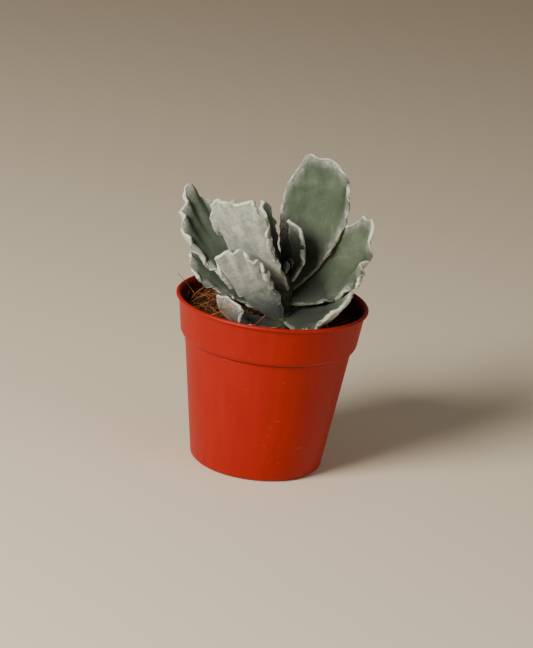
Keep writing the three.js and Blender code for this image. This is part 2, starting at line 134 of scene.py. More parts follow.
LEAVES = (
    Leaf(
        "leaf_back_tall", 78, 53.8, 38.5, 20.5, 2.2, 1.8, (24, 24, 26), (0, 0, 8), (22, 40), (0.35, 5),
        sway=(18, 5, -22),
        horn=(-0.09, 2.4),
        ruffle=spread(6, 0.2, -0.2, 0.3, -0.4, 0.6, -0.6, 0.5, -0.3),
        scallop=spread(2, 0.3, 0, -0.2, 0, 0.4, 0.4, -0.4, -0.4, -0.7, -0.6, -0.4, 0, -0.4, -0.4),
    ),
    Leaf(
        "leaf_front_left_upper", 222, 53.8, 38, 22.5, 2.6, 1.6, (52, 40, 22), (-10, -10, -10), (20, 20),
        (0.8, 6),
        scallop=spread(1, -0.8, -2.2, -2.8, -2.2, -0.4, 2, -0.8, -1.6, -1.6, -0.6, -0.4),
    ),
    Leaf(
        "leaf_left_upper", 158, 50.5, 40, 21, 2.4, 1.5, (66, 53, 30), (25, 25, 15), (24, 6), (1, 5.5),
        horn=(0, 0.6),
        scallop=spread(2, 1, 1.2, 1, 0.6, 0, -0.6, 2, -1.5, -3, -3, -1.5),
    ),
    Leaf(
        "leaf_right_upper", 3, 50.3, 33.5, 19.5, 2.1, 1.6, (62, 42, 3), (-36, -42, -42), (30, 25), (1, 6),
        ruffle=spread(8, 0.6, 1.2, -0.8, 0.8, -0.4),
        scallop=spread(2, -1.4, -2.6, -2.8, -1.6, -0.8, 0.6, 1.4, -2.4, -5.4, -6, -4, -1.4),
    ),
    Leaf(
        "leaf_front_left_lower", 225, 44.9, 31.5, 15.5, 1.9, 1.4, (50, 44, 34), (-30, -32, -34), (20, 20),
        (1, 5.5),
        scallop=spread(2, -0.8, -1.6, -2, -2.4, -2.2, -0.8, 0, -0.2, 0.8, -0.6, -1.5, -1.5, -1),
    ),
    Leaf("leaf_back_right_lower", 53, 47, 31, 20, 1.8, 1.4, (45, 45, 40), STRAIGHT, (20, 20), (0.7, 6)),
    Leaf(
        "leaf_left_lower", 149, 45.3, 33, 20, 1.3, 1.2, (66, 62, 50), (30, 36, 30), (24, 30), (0.7, 5.5),
        scallop=spread(1, -0.8, -1.4, -0.6),
    ),
    Leaf(
        "leaf_right_lower", -30, 45, 23.3, 19, 2.0, 1.5, (78, 63, 28), (-31, -27, -18), (4, 14), (0.6, 6),
        ruffle=spread(5, 0.6, -0.8, 0.8, -0.6, 0.6, 0.2, 1.8, 1, 0.6, 0.2),
        scallop=spread(1, -1, -2.6, -3.4, -2.8, -1.2, 0, 0, 0, 0, -0.4, -0.8, -1, -0.8, -0.4),
    ),
    Leaf(
        "leaf_front_left_oldest", 204, 42.8, 22, 14, 1.8, 1.3, (84, 72, -10), (10, 5, -5), (20, 20),
        (0.6, 6),
        ruffle=spread(3, 0.2, -0.6, 1.2, 2.4, 0.8, -1.6, 0.8, 0.5, -0.5),
        scallop=spread(9, -1, -2, -2, -2, -1),
    ),
    Leaf("leaf_back_right_oldest", 52, 43.2, 26, 18, 1.6, 1.3, (72, 70, 62), STRAIGHT, (20, 20), (0.6, 6)),
    Leaf(
        "leaf_heart_right", -12, 56.6, 17, 9, 1.3, 1.4, (26, -8, -34), (-15, -40, -45), (10, 10), (0.5, 5),
        scallop=spread(1, -0.4, -1.4, -2.2, -2.4, -2, -1, 0, 1, 0, -0.6, -1, -1.4, -1),
    ),
    Leaf("leaf_heart_left", 172, 56.4, 23, 11, 1.3, 1.4, (30, 21, 8), STRAIGHT, (35, 35), (0.4, 5)),
)
OLD_LEAVES = ("leaf_front_left_oldest", "leaf_back_right_oldest")
BUD_SEAT = STEM_TOP + 0.3
BUD_SHAPE = (0.7, 1.4, (4, -8, -14), STRAIGHT, (70, 70), (0.05, 3))
BUD_LEAVES = (
    Leaf("bud_right", 52, BUD_SEAT, BUD_HEIGHT, 2.6, *BUD_SHAPE),
    Leaf("bud_left", 232, BUD_SEAT, BUD_HEIGHT - 0.6, 2.4, *BUD_SHAPE),
)

# Coir by its length and radius next to a middling fibre, how steeply it rises in radians at most,
# the radius of the bare middle in mm, and what its seed adds
Coir = namedtuple("Coir", "name density length radius rise bare seed")
COIR = (
    Coir("coir_fibres", "fibre_density", 1.0, 1.0, 0.9, 9, 0),
    Coir("coir_strands", "strand_density", 1.35, 1.2, 1.25, 15, 20),
    Coir("coir_hairs", "hair_density", 0.45, 0.6, 0.9, 6, 10),
)
COIR_BEND = 0.0024
COIR_GRAIN = 160.0
PEAT_GRAIN = 700.0
STEM_GRAIN = 400.0
COIR_REACH = 24
CRUMB_REACH = 24.6
CRUMB_ROUGHNESS = 0.0005


def tint(red, green, blue):
    """Linear colour from the 0 to 255 values of a screen colour."""
    shares = (red / 255, green / 255, blue / 255)
    return tuple(share / 12.92 if share < 0.04 else ((share + 0.055) / 1.055) ** 2.4 for share in shares)


def mix(a, b, k):
    return a + (b - a) * k


STEM_DARK = tint(30, 32, 20)
STEM_LIGHT = tint(76, 82, 56)


# Node trees

def adding(operation):
    """A Python operator that adds a Math node."""
    return lambda self, other: self.math(operation, self, other)


class Sum:
    """A socket of a node tree that takes part in Python sums."""

    __add__ = adding("ADD")
    __sub__ = adding("SUBTRACT")
    __mul__ = adding("MULTIPLY")
    __truediv__ = adding("DIVIDE")

    def __init__(self, net, socket):
        self.net = net
        self.socket = socket

    def math(self, operation, *values):
        return self.net.add("ShaderNodeMath", enumerate(values), operation=operation)

    def __rsub__(self, other):
        return self.math("SUBTRACT", other, self)

    def step(self, low, high):
        """0 below low and 1 above high, with a smooth rise between them, or a fall if low is the larger."""
        ends = (low, high, 0.0, 1.0) if low < high else (high, low, 1.0, 0.0)
        values = enumerate((self, *ends))
        return self.net.add("ShaderNodeMapRange", values, interpolation_type="SMOOTHSTEP")


class Net:
    """A node tree that is being built, for a shader or for Geometry Nodes."""

    def __init__(self, tree):
        self.tree = tree

    def feed(self, socket, value):
        if isinstance(value, Sum):
            self.tree.links.new(value.socket, socket)
        elif socket.type == "RGBA":
            socket.default_value = (*value, 1.0)
        else:
            socket.default_value = value

    def add(self, kind, inputs=(), output=0, **settings):
        """Adds a node with its settings and the values or links of its sockets, and returns an output."""
        node = self.tree.nodes.new(kind)
        for name, value in settings.items():
            setattr(node, name, value)
        for name, value in dict(inputs).items():
            self.feed(node.inputs[name], value)
        return Sum(self, node.outputs[output])

    def vector(self, operation, *values, output=0, **named):
        """A vector worked out from others."""
        inputs = {**dict(enumerate(values)), **named}
        return self.add("ShaderNodeVectorMath", inputs, output, operation=operation)

    def joined(self, **parts):
        """A vector put together from its parts X, Y and Z, of which those left out are 0."""
        return self.add("ShaderNodeCombineXYZ", parts)

    def part(self, vector, axis):
        """One part of a vector: X, Y or Z."""
        return self.add("ShaderNodeSeparateXYZ", {"Vector": vector}, axis)

    def blend(self, factor, first, second):
        """A colour between two others."""
        return self.add("ShaderNodeMix", {0: factor, 6: first, 7: second}, 2, data_type="RGBA")

    def grain(self, place, scale, detail=3.0, rough=0.55, distortion=0.0):
        """A noise from 0 to 1 whose features repeat about scale times in a metre."""
        values = {"Vector": place, "Scale": scale, "Detail": detail, "Roughness": rough}
        return self.add("ShaderNodeTexNoise", {**values, "Distortion": distortion})

    def attribute(self, name):
        """A number that the mesh keeps at each of its points."""
        return self.add("ShaderNodeAttribute", output="Fac", attribute_name=name)

    def finish(self, shader, colour, rough, relief, strength, depth, gloss):
        """Gives a shader its colour and roughness, and a relief of this depth in metres as bump."""
        self.feed(shader.inputs["Base Color"], colour)
        self.feed(shader.inputs["Roughness"], rough)
        values = {"Strength": strength, "Distance": depth, "Height": relief}
        self.feed(shader.inputs["Normal"], self.add("ShaderNodeBump", values))
        shader.inputs["Specular IOR Level"].default_value = gloss


def finish_for(name, paint):
    """A material whose tree is filled in by the paint function, by place on the painted object."""
    material = bpy.data.materials.new(name)
    material.use_nodes = True
    net = Net(material.node_tree)
    shader = next(node for node in net.tree.nodes if node.type == "BSDF_PRINCIPLED")
    paint(net, shader, net.add("ShaderNodeTexCoord", output="Object"))
    return material


def geometry_tree(name, **sockets):
    """An empty Geometry Nodes tree with inputs named by kind: its net, and the wrapped inputs by name."""
    tree = bpy.data.node_groups.new(name, "GeometryNodeTree")
    tree.interface.new_socket("Geometry", in_out="OUTPUT", socket_type="NodeSocketGeometry")
    tree.interface.new_socket("Geometry", in_out="INPUT", socket_type="NodeSocketGeometry")
    for kind, labels in sockets.items():
        for label in labels.split(", "):
            tree.interface.new_socket(label, in_out="INPUT", socket_type="NodeSocket" + kind)
    net = Net(tree)
    source = tree.nodes.new("NodeGroupInput")
    given = {socket.name: Sum(net, socket) for socket in source.outputs if socket.name}
    return net, given


def close_tree(net, geometry, material):
    """Ends a tree: its instances become real faces and get their material."""
    real = net.add("GeometryNodeRealizeInstances", {"Geometry": geometry})
    painted = net.add("GeometryNodeSetMaterial", {"Geometry": real, "Material": material})
    end = net.tree.nodes.new("NodeGroupOutput")
    net.feed(end.inputs[0], painted)
    return net.tree


def grown(name, mesh, tree, values):
    """Runs a Geometry Nodes tree on a mesh and returns the result as a plain mesh object."""
    source = bpy.data.objects.new(name + "_source", mesh)
    bpy.context.scene.collection.objects.link(source)
    modifier = source.modifiers.new(name, "NODES")
    modifier.node_group = tree
    for item in tree.interface.items_tree:
        if item.in_out == "INPUT" and item.name in values:
            modifier[item.identifier] = values[item.name]
    graph = bpy.context.evaluated_depsgraph_get()
    ready = source.evaluated_get(graph)
    plain = bpy.data.meshes.new_from_object(ready, preserve_all_data_layers=True, depsgraph=graph)
    bpy.data.objects.remove(source)
    plain.name = name
    return shown(name, plain)


def shown(name, mesh):
    piece = bpy.data.objects.new(name, mesh)
    bpy.context.scene.collection.objects.link(piece)
    return piece


def settle(piece, slot, *nodes):
    """Joins a finished piece to the part: it rides on the root and stands for its nodes."""
    piece.data.shade_smooth()
    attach(piece, "root")
    if nodes:
        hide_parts(*nodes)


def tidy_mesh(mesh, reach):
    """Merges points that lie this close together and turns every face outwards."""
    shape = bmesh.new()
    shape.from_mesh(mesh)
    if reach:
        bmesh.ops.remove_doubles(shape, verts=shape.verts, dist=reach)
    bmesh.ops.recalc_face_normals(shape, faces=shape.faces)
    shape.to_mesh(mesh)
    shape.free()


# Leaf blades

def outline(leaf, station):
    """Across and along the flat blade, for stations from -1, over 0 at the tip, to 1."""
    side = np.where(station < 0, -1.0, 1.0)
    reach = np.abs(station)
    half = leaf.width / 2
    widest = leaf.length * WIDEST_AT
    angle = np.minimum(reach / SHOULDER, 1) * math.pi / 2
    climb = np.clip((1 - reach) / (1 - SHOULDER), 0, 1)
    swell = 1 - (1 - climb) ** leaf.flare
    over = reach <= SHOULDER
    across = np.where(over, half * np.sin(angle), mix(leaf.foot, half, swell))
    up = np.where(over, widest + (leaf.length - widest) * np.cos(angle), widest * climb)
    return side * across, up


def along(values, station):
    """A smooth reading between the values of a list that is spread evenly from -1 to 1."""
    values = np.array(values, float)
    place = (station + 1) / 2 * (len(values) - 1)
    i = np.clip(np.floor(place).astype(int), 0, len(values) - 2)
    k = place - i
    a = values[np.maximum(i - 1, 0)]
    b = values[i]
    c = values[i + 1]
    d = values[np.minimum(i + 2, len(values) - 1)]
    return b + 0.5 * k * (c - a + k * (2 * a - 5 * b + 4 * c - d + k * (3 * (b - c) + d - a)))


def margin_way(leaf, station):
    """How far round the margin a station lies from the tip, signed, in mm, and how calm it is there."""
    reach = np.abs(station)
    top = math.hypot(leaf.width / 2, leaf.length * (1 - WIDEST_AT))
    past = (reach - SHOULDER) / (1 - SHOULDER)
    far = np.where(past < 0, reach / SHOULDER * top, top + past * leaf.length * WIDEST_AT)
    return np.sign(station) * far, np.minimum(1, (1 - reach) / CALM_FOOT)


def wave(leaf, station):
    height, length = leaf.wave
    far, calm = margin_way(leaf, station)
    return height * calm * np.sin(2 * math.pi * far / length + leaf.azimuth)


def crinkle(leaf, station, length, phase):
    """Finer, uneven waves on the outermost margin, 1 mm high on the most waved leaves."""
    far, calm = margin_way(leaf, station)
    height = 0.35 + 0.65 * leaf.wave[0]
    uneven = 0.62 + 0.38 * np.sin(2 * math.pi * far / (2.7 * length) + 2 * phase)
    bend = far + 0.22 * length * np.sin(2 * math.pi * far / (1.9 * length) + phase)
    return height * calm * uneven * np.sin(2 * math.pi * bend / length + phase + leaf.azimuth)


def reach_past(leaf, station):
    """How far a leaf's outline reaches past its plain one at a station."""
    place, height = leaf.horn
    return along(leaf.scallop, station) + height * np.exp(-(((station - place) / HORN_WIDTH) ** 2))


def rising(start, power):
    """A function of how strongly waves reach a place, from its share of the way out to the margin."""
    return lambda share: np.maximum(0, (share - start) / (1 - start)) ** power


ruffled = rising(0.3, 1.6)
waved = rising(0.6, 1.5)
crinkled_near = rising(0.7, 1.5)


def turned_about(vectors, axes, angle):
    angle = np.asarray(angle)[..., None]
    dot = np.sum(vectors * axes, axis=-1, keepdims=True)
    across = np.cross(axes, vectors)
    return vectors * np.cos(angle) + across * np.sin(angle) + axes * dot * (1 - np.cos(angle))


def reading(values, share):
    seat, middle, tip = values
    return seat + share * (4 * middle - 3 * seat - tip + 2 * share * (seat + tip - 2 * middle))


def directions(leaf, share):
    """Directions of the blade at shares of its length: along it, to its right and out of its inner face."""
    lean, sway, roll = (np.radians(reading(angles, share)) for angles in (leaf.lean, leaf.sway, leaf.roll))
    turn = math.radians(leaf.azimuth)
    outward = np.array([math.cos(turn), math.sin(turn), 0.0])
    up = np.array([0.0, 0.0, 1.0])
    upright = np.sin(lean)[..., None] * outward + np.cos(lean)[..., None] * up
    inward = np.sin(lean)[..., None] * up - np.cos(lean)[..., None] * outward
    right = np.cross(upright, inward)
    forward = turned_about(upright, inward, -sway)
    right = turned_about(turned_about(right, inward, -sway), forward, -roll)
    return forward, right, turned_about(inward, forward, -roll)


def placed(leaf, across, y, height):
    """Takes points of the blade from across, along and height to their places on the plant."""
    turn = math.radians(leaf.azimuth)
    root = STEM_RADIUS - ROOT_INSET
    seat = (STEM_X + root * math.cos(turn), STEM_Y + root * math.sin(turn), leaf.seat)
    at = np.zeros((*y.shape, 3)) + seat
    for step in range(SPINE_STEPS):
        forward, _, _ = directions(leaf, y / leaf.length * (step + 0.5) / SPINE_STEPS)
        at += forward * (y / SPINE_STEPS)[..., None]
    _, right, inward = directions(leaf, y / leaf.length)
    return at + right * across[..., None] + inward * height[..., None]


def blade_middle(leaf, u, v, crinkled):
    """Middle surface of a leaf: u from seat to tip, v from -1 at the left margin to 1 at the right."""
    side = np.where(v < 0, -1.0, 1.0)
    k = (v + 1) / 2
    flank = mix(1, SHOULDER, u)
    top = outline(leaf, v * SHOULDER)
    edges = [outline(leaf, s * flank) for s in (-1, 1)]
    corners = [outline(leaf, np.array(s * SHOULDER)) for s in (-1, 1)]
    seat = (v * leaf.foot, 0 * v)
    ruled = [mix(edges[0][i], edges[1][i], k) + mix(seat[i], top[i], u) for i in (0, 1)]
    shared = [mix(seat[i], mix(corners[0][i], corners[1][i], k), u) for i in (0, 1)]
    x, y = (ruled[i] - shared[i] for i in (0, 1))

    def lift(read, share):
        up, out = share(u), share(np.abs(v))
        return up * read(v * SHOULDER) + out * read(side * flank) - up * out * read(side * SHOULDER)

    heart = leaf.length * 0.5
    far = np.maximum(np.hypot(x, y - heart), 1e-6)
    reach = lift(lambda s: reach_past(leaf, s), ruffled)
    reach = reach + crinkled * lift(lambda s: crinkle(leaf, s, *CRINKLE_OUT), crinkled_near)
    x, y = x + reach * x / far, y + reach * (y - heart) / far
    bow = np.radians(np.where(v < 0, leaf.cup[0], leaf.cup[1])) / (leaf.width / 2)
    rise = (1 - np.cos(bow * x)) / bow + lift(lambda s: along(leaf.ruffle, s), ruffled)
    rise = rise + lift(lambda s: wave(leaf, s), waved)
    rise = rise + crinkled * lift(lambda s: crinkle(leaf, s, *CRINKLE_UP), crinkled_near)
    return placed(leaf, np.sin(bow * x) / bow, y, rise), x, y


def gaps_between(points, axis):
    return np.linalg.norm(np.diff(points, axis=axis), axis=-1)


def crust(points, edge):
    """How far the mealy crust of the margin stands out, in mm, at points this far from the very edge."""
    rough = [noise.fractal(Vector(point) * CRUST_GRAIN, 0.7, 2.2, 3) for point in points.reshape(-1, 3)]
    near = np.exp(-(((edge - 0.3) / 0.55) ** 2))
    return CRUST_HEIGHT * near * np.reshape(rough, edge.shape)


def heart_way(points):
    """How far points lie from the heart of the plant, the line of the stem up to the bud, round which the
    leaves get painted shade.
    """
    above = np.maximum(points[..., 2] - STEM_TOP, 0)
    return np.sqrt((points[..., 0] - STEM_X) ** 2 + (points[..., 1] - STEM_Y) ** 2 + above ** 2)


def finer_ends(count):
    """Even steps from 0 to 1 that get finer towards 1."""
    steps = np.linspace(0, 1, count + 1)
    return mix(steps, np.sin(steps * math.pi / 2), 0.82)


def blade_mesh(leaf, rows, columns, crinkled):
    """Closed blade with a rounded rim, whose points keep what its finish needs to know of them."""
    half_way = finer_ends(columns // 2)
    u, v = np.meshgrid(finer_ends(rows), np.concatenate((-half_way[:0:-1], half_way)), indexing="ij")
    middle, x, y = blade_middle(leaf, u, v, crinkled)
    sides = np.pad(np.cumsum(gaps_between(middle, 1), axis=1), ((0, 0), (1, 0)))
    climb = np.pad(np.cumsum(gaps_between(middle, 0), axis=0), ((1, 0), (0, 0)))
    edge = np.minimum(np.minimum(sides, sides[:, -1:] - sides), climb[-1:] - climb)
    normal = np.cross(np.gradient(middle, axis=1), np.gradient(middle, axis=0))
    normal /= np.maximum(np.linalg.norm(normal, axis=-1, keepdims=True), 1e-9)
    outermost = (u ** 10 + np.abs(v) ** 10) ** 0.1
    thick = mix(HEART_THICK, MARGIN_THICK, np.minimum(outermost, 1) ** 2.5)
    thick = np.minimum(thick, 0.24 * leaf.width) + 2 * crust(middle, edge)
    half = thick / 2 * np.sqrt(1 - (1 - np.minimum(edge / RIM_ROUND, 1)) ** 2)
    age = np.full(edge.shape, 1.0 if leaf.name in OLD_LEAVES else 0.0)
    x, y = x / PATTERN_LENGTH + 0.5, y / PATTERN_LENGTH
    rim = np.zeros(edge.shape, bool)
    rim[-1] = rim[:, 0] = rim[:, -1] = True
    index = np.arange(rim.size).reshape(rim.shape)
    back = index.copy()
    back[~rim] = rim.size + np.arange(np.sum(~rim))
    out = normal * half[..., None]
    points = np.concatenate(((middle + out).reshape(-1, 3), (middle - out)[~rim])) * MM
    faces = [[index[0, j + 1], index[0, j], back[0, j], back[0, j + 1]] for j in range(columns)]
    for numbers, way in ((index, 1), (back, -1)):
        quads = (numbers[:-1, :-1], numbers[:-1, 1:], numbers[1:, 1:], numbers[1:, :-1])
        faces += np.stack(quads[::way], axis=-1).reshape(-1, 4).tolist()
    faces = [list(dict.fromkeys(map(int, corners))) for corners in faces]
    mesh = bpy.data.meshes.new(leaf.name)
    mesh.from_pydata(points.tolist(), [], [corners for corners in faces if len(corners) > 2])
    for name, front in zip(KEPT, (edge, rim * 0.5, heart_way(middle), x, y, age)):
        behind = np.ones(np.sum(~rim)) if name == "outer_face" else front[~rim]
        layer = mesh.attributes.new(name, "FLOAT", "POINT")
        layer.data.foreach_set("value", np.concatenate((front.ravel(), behind)))
    tidy_mesh(mesh, 0)
    return mesh


# Turned bodies

def eased(profile, cut):
    """A profile whose inner corners are each rounded by three short steps, from cut mm away at most."""
    result = [profile[0]]
    for before, corner, after in zip(profile, profile[1:], profile[2:]):
        before, corner, after = (np.array(p, float) for p in (before, corner, after))
        back, ahead = before - corner, after - corner
        reach = min(cut, 0.4 * np.linalg.norm(back), 0.4 * np.linalg.norm(ahead))
        start = corner + back / np.linalg.norm(back) * reach
        end = corner + ahead / np.linalg.norm(ahead) * reach
        for k in (0.0, 0.33, 0.67, 1.0):
            result.append(tuple((1 - k) ** 2 * start + 2 * k * (1 - k) * corner + k * k * end))
    return result + [profile[-1]]


def section_mesh(profile):
    """The outline of a turned body: its points, from [radius, height] pairs in mm, in the XZ plane."""
    mesh = bpy.data.meshes.new("section")
    mesh.from_pydata([(r * MM, 0, z * MM) for r, z in profile], [], [])
    return mesh


def turning_tree():
    """Turns a section round the Z axis: each column of a grid becomes the section at its turn."""
    net, given = geometry_tree("Turned Body", Int="Steps, Sides", Material="Material")
    sizes = {"Vertices X": given["Sides"] + 1.0, "Vertices Y": given["Steps"]}
    grid = net.add("GeometryNodeMeshGrid", sizes)
    index = net.add("GeometryNodeInputIndex")
    side = index.math("FLOOR", (index + 0.5) / given["Steps"])
    spot = net.add("GeometryNodeInputPosition")
    picked = {"Geometry": given["Geometry"], "Value": spot, "Index": index - side * given["Steps"]}
    section = net.add("GeometryNodeSampleIndex", picked, data_type="FLOAT_VECTOR")
    radius, height = (net.part(section, axis) for axis in "XZ")
    turn = side / given["Sides"] * (2 * math.pi)
    east = radius * turn.math("COSINE", turn)
    north = radius * turn.math("SINE", turn)
    place = net.joined(X=east, Y=north, Z=height)
    body = net.add("GeometryNodeSetPosition", {"Geometry": grid, "Position": place})
    closed = net.add("GeometryNodeMergeByDistance", {"Geometry": body, "Distance": MICRON})
    return close_tree(net, closed, given["Material"])


def turned_mesh(profile, sides, material):
    """A closed turned body as a mesh, with its seam and its poles merged."""
    values = {"Steps": len(profile), "Sides": sides, "Material": material}
    piece = grown("turned", section_mesh(profile), turning_tree(), values)
    mesh = piece.data
    bpy.data.objects.remove(piece)
    tidy_mesh(mesh, MICRON)
    return mesh


def drain_tree():
    """Cuts a ring of round drain holes through the floor of a pot."""
    sockets = {"Float": "Hole Radius, Ring Radius, Floor", "Int": "Hole Count", "Material": "Material"}
    net, given = geometry_tree("Drain Holes", **sockets)
    sizes = {"Vertices": given["Hole Count"], "Radius": given["Ring Radius"]}
    ring = net.add("GeometryNodeMeshCircle", sizes)
    sizes = {"Vertices": HOLE_SIDES, "Radius": given["Hole Radius"], "Depth": given["Floor"] * 4.0}
    drill = net.add("GeometryNodeMeshCylinder", sizes)
    drills = net.add("GeometryNodeInstanceOnPoints", {"Points": ring, "Instance": drill})
    real = net.add("GeometryNodeRealizeInstances", {"Geometry": drills})
    pair = {"Mesh 1": given["Geometry"], "Mesh 2": real}
    cut = net.add("GeometryNodeMeshBoolean", pair, operation="DIFFERENCE", solver="EXACT")
    return close_tree(net, cut, given["Material"])


def pot_profile():
    band_top = POT_HEIGHT - LIP_HEIGHT
    band_top_radius = LIP_RADIUS - LIP_OVERHANG
    return [
        (0, 0),
        (RECESS_INNER, 0),
        (RECESS_INNER + 0.5, RECESS_DEPTH),
        (RECESS_OUTER, RECESS_DEPTH),
        (RECESS_OUTER + 0.6, 0),
        (BASE_RADIUS - 0.9, 0),
        (BASE_RADIUS, 0.9),
        (mix(BASE_RADIUS, BODY_TOP_RADIUS, 0.5), mix(0.9, BODY_TOP, 0.5)),
        (BODY_TOP_RADIUS, BODY_TOP),
        (BODY_TOP_RADIUS + 0.9, BODY_TOP + 0.5),
        (BAND_BOTTOM_RADIUS, BAND_BOTTOM),
        (band_top_radius, band_top - 0.1),
        (LIP_RADIUS - 0.1, band_top + 0.1),
        (LIP_RADIUS, POT_HEIGHT - 0.4),
        (LIP_RADIUS - 0.4, POT_HEIGHT),
        (LIP_RADIUS - 0.9, POT_HEIGHT),
        (band_top_radius - WALL, band_top - 0.3),
        (BAND_BOTTOM_RADIUS - WALL, BAND_BOTTOM + 0.3),
        (BODY_TOP_RADIUS - WALL, BODY_TOP + 0.2),
        (BASE_RADIUS - WALL + 0.1, FLOOR + 0.8),
        (BASE_RADIUS - WALL - 0.8, FLOOR),
        (0, FLOOR),
    ]


def keep_inside(mesh):
    """Marks the points of the pot's inner wall, for the damp dust and the painted shade on it."""
    layer = mesh.attributes.new("inside", "FLOAT", "POINT")
    marks = []
    for point in mesh.vertices:
        radius = math.hypot(point.co.x, point.co.y) / MM
        height = point.co.z / MM
        marks.append(1.0 if radius < wall_middle(height) and height > FLOOR / 2 else 0.0)
    layer.data.foreach_set("value", marks)


def wall_middle(z):
    """Radius of the middle of the pot's wall at a height."""
    if z <= BODY_TOP:
        return mix(BASE_RADIUS, BODY_TOP_RADIUS, z / BODY_TOP) - WALL / 2
    climb = (z - BAND_BOTTOM) / (POT_HEIGHT - LIP_HEIGHT - BAND_BOTTOM)
    return mix(BAND_BOTTOM_RADIUS, LIP_RADIUS - LIP_OVERHANG, climb) - WALL / 2


# Soil

def soil_height(x, y):
    near = math.hypot(x - STEM_X, y - STEM_Y) / SOIL_DIP_REACH
    coarse = math.sin(1.9 * x + 0.7 * y) * math.cos(1.3 * y - 0.9 * x)
    crumbs = coarse + 0.6 * math.sin(2.9 * y + 1.1 * x)
    plain = SOIL_TOP + SOIL_SLOPE * (y - x) - SOIL_DIP * math.exp(-near * near)
    fine = noise.fractal(Vector((x, y, 3.0)) * 0.9, 0.6, 2.1, 4)
    return plain + CRUMB_HEIGHT * (0.6 * crumbs + 0.9 * fine)


def soil_mesh(material):
    """The soil ball: a rough top over a plain body that follows the pot's wall."""
    floor = FLOOR + SOIL_CLEAR
    body = [(0, floor), (BASE_RADIUS - WALL - 1.3, floor)]
    inset = WALL / 2 + SOIL_CLEAR + 0.2
    body += [(wall_middle(z) - inset, z) for z in (4, BODY_TOP, BAND_BOTTOM + 1, SOIL_TOP - 0.6)]
    rim = wall_middle(SOIL_TOP) - inset
    profile = body + [(rim * i / (SOIL_RINGS - 1), SOIL_TOP) for i in range(SOIL_RINGS - 1, -1, -1)]
    mesh = turned_mesh(profile, SOIL_SIDES, material)
    for point in mesh.vertices:
        if point.co.z > (SOIL_TOP - 0.1) * MM:
            x, y = point.co.x / MM, point.co.y / MM
            point.co.z = soil_height(x, y) * MM
    return mesh


def top_patch(mesh, low, high):
    """A copy of the soil's top between two radii in mm, which the crumbs and fibres grow on."""
    shape = bmesh.new()
    shape.from_mesh(mesh)
    away = []
    for face in shape.faces:
        centre = face.calc_center_median()
        radius = math.hypot(centre.x, centre.y) / MM
        if centre.z < (SOIL_TOP - 5) * MM or face.normal.z < 0.2 or not low < radius < high:
            away.append(face)
    bmesh.ops.delete(shape, geom=away, context="FACES")
    patch = bpy.data.meshes.new(mesh.name + "_top")
    shape.to_mesh(patch)
    shape.free()
    return patch


def random_vector(net, low, high, seed):
    values = {0: low, 1: high, "Seed": seed}
    return net.add("FunctionNodeRandomValue", values, data_type="FLOAT_VECTOR")


def drift(net, scale, strength, level=0.5):
    """An uneven push that changes from place to place."""
    rough = net.add("ShaderNodeTexNoise", {"Scale": scale, "Detail": 2.0}, "Color")
    centred = net.vector("SUBTRACT", rough, (0.5, 0.5, level))
    return net.vector("SCALE", centred, Scale=strength)


def strewn(net, given, kind, turn, size, push):
    """Copies of one shape all over the surface that a tree is given, each bent by an uneven push."""
    values = {"Mesh": given["Geometry"], "Density": given["Density"], "Seed": given["Seed"]}
    points = net.add("GeometryNodeDistributePointsOnFaces", values)
    values = {"Points": points, "Instance": kind, "Rotation": turn, "Scale": size}
    copies = net.add("GeometryNodeInstanceOnPoints", values)
    real = net.add("GeometryNodeRealizeInstances", {"Geometry": copies})
    return net.add("GeometryNodeSetPosition", {"Geometry": real, "Offset": push})


def crumb_tree():
    """Scatters small uneven crumbs of peat over a surface."""
    amounts = "Density, Smallest, Largest, Roughness"
    net, given = geometry_tree("Peat Crumbs", Float=amounts, Int="Seed", Material="Material")
    crumb = net.add("GeometryNodeMeshIcoSphere", {"Radius": 1.0, "Subdivisions": 2})
    turn = random_vector(net, (0.0, 0.0, 0.0), (FULL_TURN, FULL_TURN, FULL_TURN), given["Seed"])
    sizes = {2: given["Smallest"], 3: given["Largest"], "Seed": given["Seed"]}
    size = net.add("FunctionNodeRandomValue", sizes, 1, data_type="FLOAT")
    push = drift(net, 1400.0, given["Roughness"])
    bent = strewn(net, given, crumb, turn, size, push)
    return close_tree(net, bent, given["Material"])


